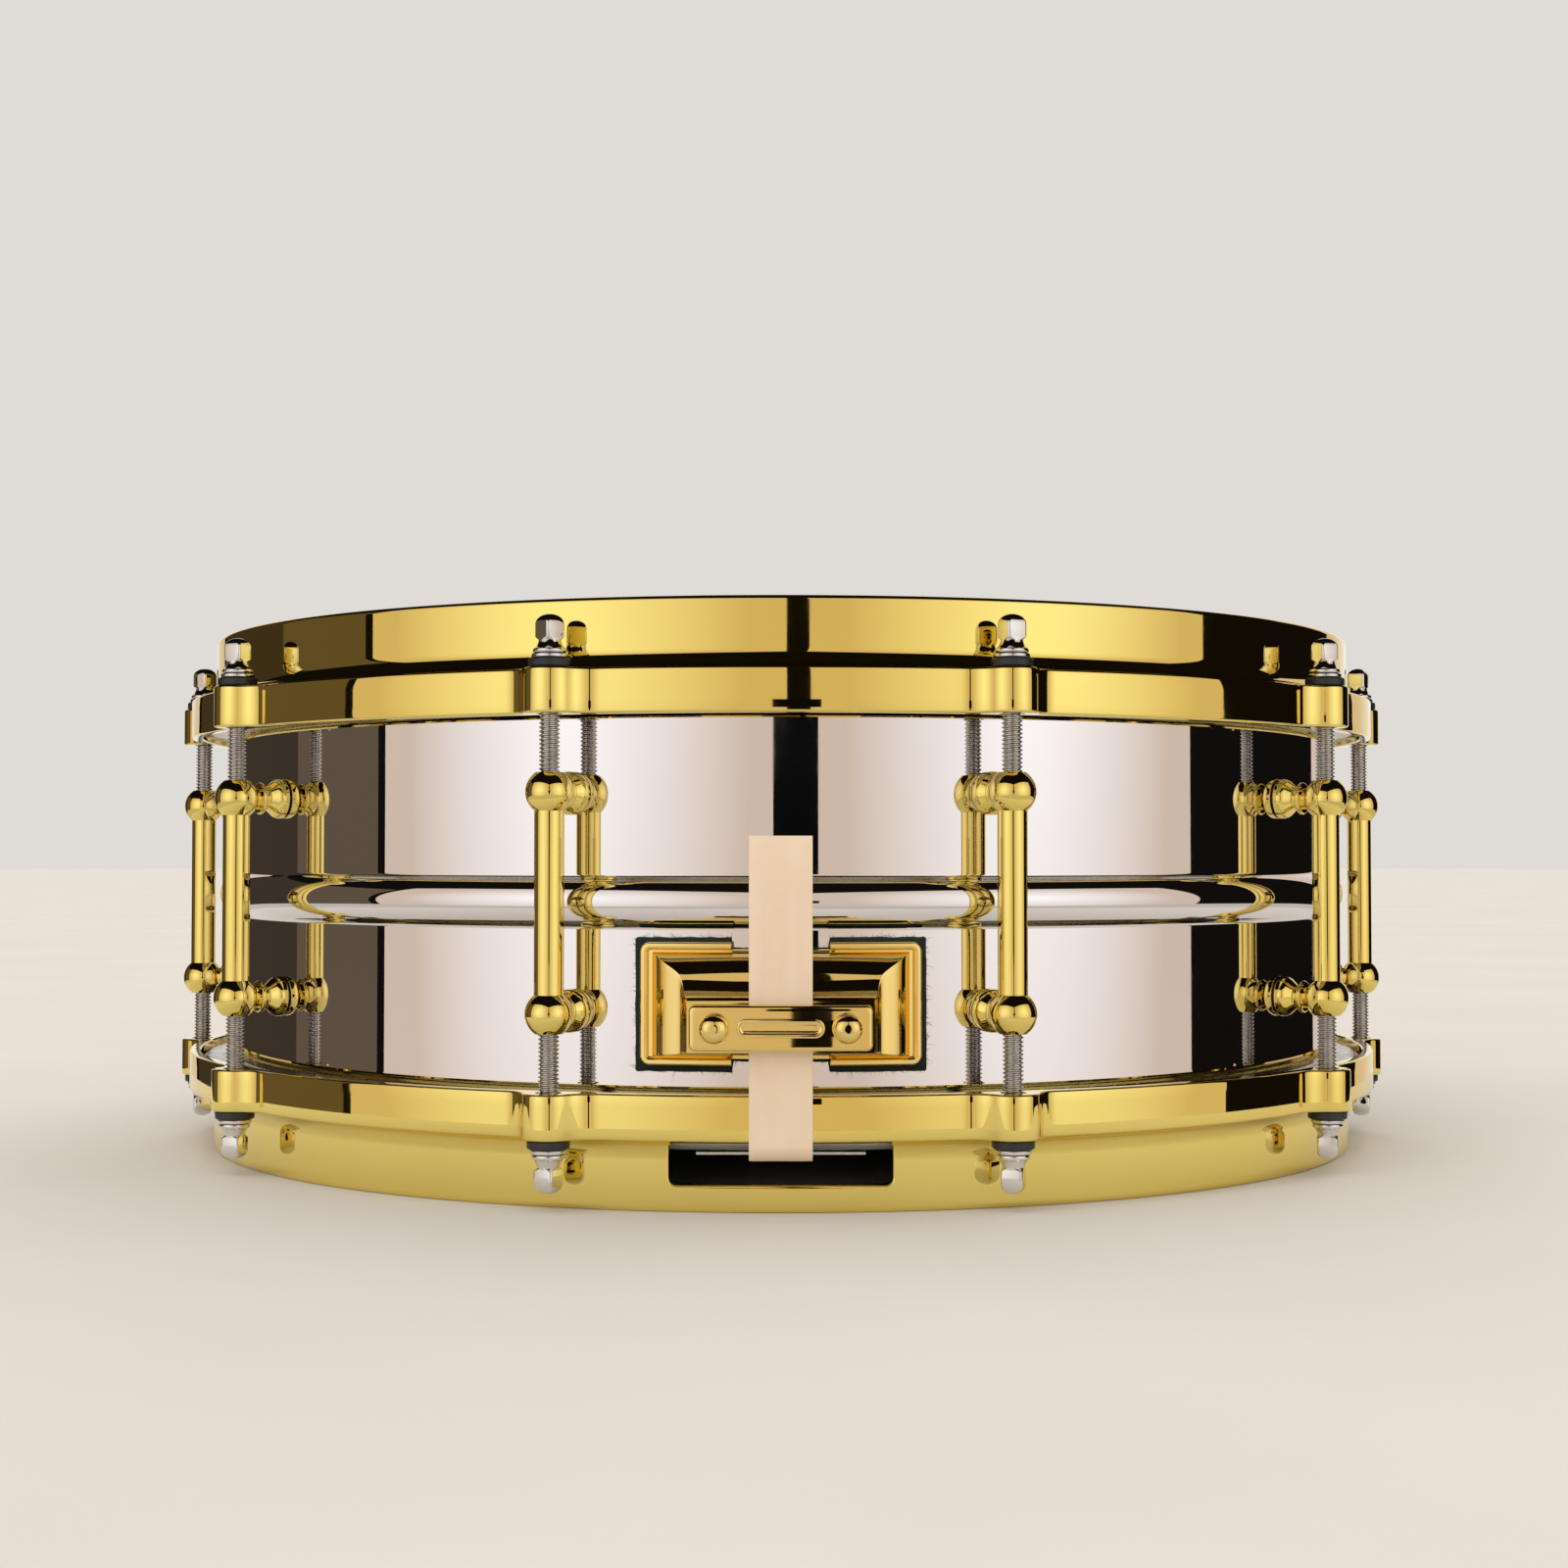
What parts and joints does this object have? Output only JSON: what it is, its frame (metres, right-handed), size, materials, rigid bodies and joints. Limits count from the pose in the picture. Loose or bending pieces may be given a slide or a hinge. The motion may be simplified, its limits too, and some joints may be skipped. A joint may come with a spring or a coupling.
{
  "type": "snare drum",
  "caption": "Fourteen-inch metal-shell snare drum with die-cast hoops, tube lugs, keyed tension rods, butt plate, throw-off and snare wires.",
  "frame": {"origin": "on the drum's axis, in the plane of the snare-side rim that the drum stands on", "axes": "+Z along the drum's axis towards the batter head, -Y towards the butt plate, +Y towards the throw-off"},
  "size_m": [0.395, 0.3992, 0.1574],
  "materials": {
    "chrome_shell": "mirror polished",
    "gold_hoops": "mirror polished gold plate",
    "gold_lugs": "mirror polished gold plate",
    "gold_fittings": "mirror polished gold plate",
    "coated_film": "rough sprayed white coating",
    "clear_film": "clear, slightly hazy",
    "flesh_aluminium": "satin",
    "rod_steel": "bright plated steel",
    "washer_nylon": "black nylon",
    "washer_steel": "bright plated steel",
    "felt": "dark green-black felt",
    "strap_plastic": "cream plastic strap",
    "strand_steel": "bright drawn wire",
    "screw_steel": "zinc plated",
    "gasket_rubber": "black gasket",
    "insert_brass": "turned brass"
  },
  "bodies": {
    "root": {"shell": "chrome_shell", "vent_badge": "gold_fittings", "vent_eyelet": "gold_fittings", "batter_head_film": "coated_film", "batter_flesh_hoop": "flesh_aluminium", "snare_head_film": "clear_film", "snare_flesh_hoop": "flesh_aluminium", "batter_hoop": "gold_hoops", "snare_hoop": "gold_hoops", "lug_end_balls": "gold_lugs", "lug_tubes": "gold_lugs", "lug_inserts": "insert_brass", "lug_gaskets": "gasket_rubber", "lug_screws": "screw_steel", "lug_screw_washers": "screw_steel", "rod_nylon_washers": "washer_nylon", "rod_steel_washers": "washer_steel", "butt_felt": "felt", "butt_plate": "gold_fittings", "butt_clamp_bar": "gold_fittings", "butt_clamp_screws": "gold_fittings", "fitting_screws": "screw_steel", "fitting_screw_washers": "screw_steel", "throw_gasket": "gasket_rubber", "throw_base": "gold_fittings", "throw_pivot_pin": "washer_steel", "snare_strap_butt": "strap_plastic", "snare_strap_throw": "strap_plastic"},
    "lever": {"throw_lever": "gold_fittings", "throw_crank_pins": "washer_steel"},
    "carriage": {"throw_carriage": "gold_fittings", "throw_knob_spring": "strand_steel"},
    "knob": {"throw_knob": "gold_fittings"},
    "jaw": {"throw_jaw": "gold_fittings", "throw_clamp_bar": "gold_fittings", "throw_clamp_screws": "gold_fittings"},
    "snares": {"snare_strands": "strand_steel", "snare_end_plates": "strand_steel"},
    "tension_rod_batter_01": {"tension_rod_batter_01": "rod_steel"},
    "tension_rod_batter_02": {"tension_rod_batter_02": "rod_steel"},
    "tension_rod_batter_03": {"tension_rod_batter_03": "rod_steel"},
    "tension_rod_batter_04": {"tension_rod_batter_04": "rod_steel"},
    "tension_rod_batter_05": {"tension_rod_batter_05": "rod_steel"},
    "tension_rod_batter_06": {"tension_rod_batter_06": "rod_steel"},
    "tension_rod_batter_07": {"tension_rod_batter_07": "rod_steel"},
    "tension_rod_batter_08": {"tension_rod_batter_08": "rod_steel"},
    "tension_rod_batter_09": {"tension_rod_batter_09": "rod_steel"},
    "tension_rod_batter_10": {"tension_rod_batter_10": "rod_steel"},
    "tension_rod_snare_01": {"tension_rod_snare_01": "rod_steel"},
    "tension_rod_snare_02": {"tension_rod_snare_02": "rod_steel"},
    "tension_rod_snare_03": {"tension_rod_snare_03": "rod_steel"},
    "tension_rod_snare_04": {"tension_rod_snare_04": "rod_steel"},
    "tension_rod_snare_05": {"tension_rod_snare_05": "rod_steel"},
    "tension_rod_snare_06": {"tension_rod_snare_06": "rod_steel"},
    "tension_rod_snare_07": {"tension_rod_snare_07": "rod_steel"},
    "tension_rod_snare_08": {"tension_rod_snare_08": "rod_steel"},
    "tension_rod_snare_09": {"tension_rod_snare_09": "rod_steel"},
    "tension_rod_snare_10": {"tension_rod_snare_10": "rod_steel"}
  },
  "joints": [
    {"name": "fine_tune_knob_turn", "type": "hinge", "parent": "carriage", "child": "knob", "pos_m": [0, 0.1875, 0.0862], "axis": [0, 0, 1], "range_deg": [-720, 720]},
    {"name": "jaw_slide", "type": "slide", "parent": "carriage", "child": "jaw", "axis": [0, 0, 1], "range_m": [-0.00139, 0.00139]},
    {"name": "lever_throw", "type": "hinge", "parent": "root", "child": "lever", "pos_m": [0, 0.1832, 0.0667], "axis": [-1, 0, 0], "range_deg": [0, 100]},
    {"name": "carriage_slide", "type": "slide", "parent": "root", "child": "carriage", "axis": [0, 0, -1], "range_m": [0, 0.00535], "deforming": ["snare_strap_throw"]},
    {"name": "snare_release", "type": "slide", "parent": "root", "child": "snares", "axis": [0, 0, -1], "range_m": [0, 0.0021], "deforming": ["snare_strap_butt"]},
    {"name": "tension_rod_batter_01_turn", "type": "hinge", "parent": "root", "child": "tension_rod_batter_01", "pos_m": [0.05902, -0.18165, 0.1387], "axis": [0, 0, 1], "continuous": true},
    {"name": "tension_rod_batter_02_turn", "type": "hinge", "parent": "root", "child": "tension_rod_batter_02", "pos_m": [0.15452, -0.11227, 0.1387], "axis": [0, 0, 1], "continuous": true},
    {"name": "tension_rod_batter_03_turn", "type": "hinge", "parent": "root", "child": "tension_rod_batter_03", "pos_m": [0.191, 0, 0.1387], "axis": [0, 0, 1], "continuous": true},
    {"name": "tension_rod_batter_04_turn", "type": "hinge", "parent": "root", "child": "tension_rod_batter_04", "pos_m": [0.15452, 0.11227, 0.1387], "axis": [0, 0, 1], "continuous": true},
    {"name": "tension_rod_batter_05_turn", "type": "hinge", "parent": "root", "child": "tension_rod_batter_05", "pos_m": [0.05902, 0.18165, 0.1387], "axis": [0, 0, 1], "continuous": true},
    {"name": "tension_rod_batter_06_turn", "type": "hinge", "parent": "root", "child": "tension_rod_batter_06", "pos_m": [-0.05902, 0.18165, 0.1387], "axis": [0, 0, 1], "continuous": true},
    {"name": "tension_rod_batter_07_turn", "type": "hinge", "parent": "root", "child": "tension_rod_batter_07", "pos_m": [-0.15452, 0.11227, 0.1387], "axis": [0, 0, 1], "continuous": true},
    {"name": "tension_rod_batter_08_turn", "type": "hinge", "parent": "root", "child": "tension_rod_batter_08", "pos_m": [-0.191, 0, 0.1387], "axis": [0, 0, 1], "continuous": true},
    {"name": "tension_rod_batter_09_turn", "type": "hinge", "parent": "root", "child": "tension_rod_batter_09", "pos_m": [-0.15452, -0.11227, 0.1387], "axis": [0, 0, 1], "continuous": true},
    {"name": "tension_rod_batter_10_turn", "type": "hinge", "parent": "root", "child": "tension_rod_batter_10", "pos_m": [-0.05902, -0.18165, 0.1387], "axis": [0, 0, 1], "continuous": true},
    {"name": "tension_rod_snare_01_turn", "type": "hinge", "parent": "root", "child": "tension_rod_snare_01", "pos_m": [0.05902, -0.18165, 0.0187], "axis": [0, 0, -1], "continuous": true},
    {"name": "tension_rod_snare_02_turn", "type": "hinge", "parent": "root", "child": "tension_rod_snare_02", "pos_m": [0.15452, -0.11227, 0.0187], "axis": [0, 0, -1], "continuous": true},
    {"name": "tension_rod_snare_03_turn", "type": "hinge", "parent": "root", "child": "tension_rod_snare_03", "pos_m": [0.191, 0, 0.0187], "axis": [0, 0, -1], "continuous": true},
    {"name": "tension_rod_snare_04_turn", "type": "hinge", "parent": "root", "child": "tension_rod_snare_04", "pos_m": [0.15452, 0.11227, 0.0187], "axis": [0, 0, -1], "continuous": true},
    {"name": "tension_rod_snare_05_turn", "type": "hinge", "parent": "root", "child": "tension_rod_snare_05", "pos_m": [0.05902, 0.18165, 0.0187], "axis": [0, 0, -1], "continuous": true},
    {"name": "tension_rod_snare_06_turn", "type": "hinge", "parent": "root", "child": "tension_rod_snare_06", "pos_m": [-0.05902, 0.18165, 0.0187], "axis": [0, 0, -1], "continuous": true},
    {"name": "tension_rod_snare_07_turn", "type": "hinge", "parent": "root", "child": "tension_rod_snare_07", "pos_m": [-0.15452, 0.11227, 0.0187], "axis": [0, 0, -1], "continuous": true},
    {"name": "tension_rod_snare_08_turn", "type": "hinge", "parent": "root", "child": "tension_rod_snare_08", "pos_m": [-0.191, 0, 0.0187], "axis": [0, 0, -1], "continuous": true},
    {"name": "tension_rod_snare_09_turn", "type": "hinge", "parent": "root", "child": "tension_rod_snare_09", "pos_m": [-0.15452, -0.11227, 0.0187], "axis": [0, 0, -1], "continuous": true},
    {"name": "tension_rod_snare_10_turn", "type": "hinge", "parent": "root", "child": "tension_rod_snare_10", "pos_m": [-0.05902, -0.18165, 0.0187], "axis": [0, 0, -1], "continuous": true}
  ],
  "couplings": [
    {"joint": "fine_tune_knob_turn", "follows": "jaw_slide", "rad_per_m": 8976},
    {"joint": "lever_throw", "follows": "carriage_slide", "rad_per_m": 325.48},
    {"joint": "snare_release", "follows": "carriage_slide", "ratio": 0.37297}
  ]
}
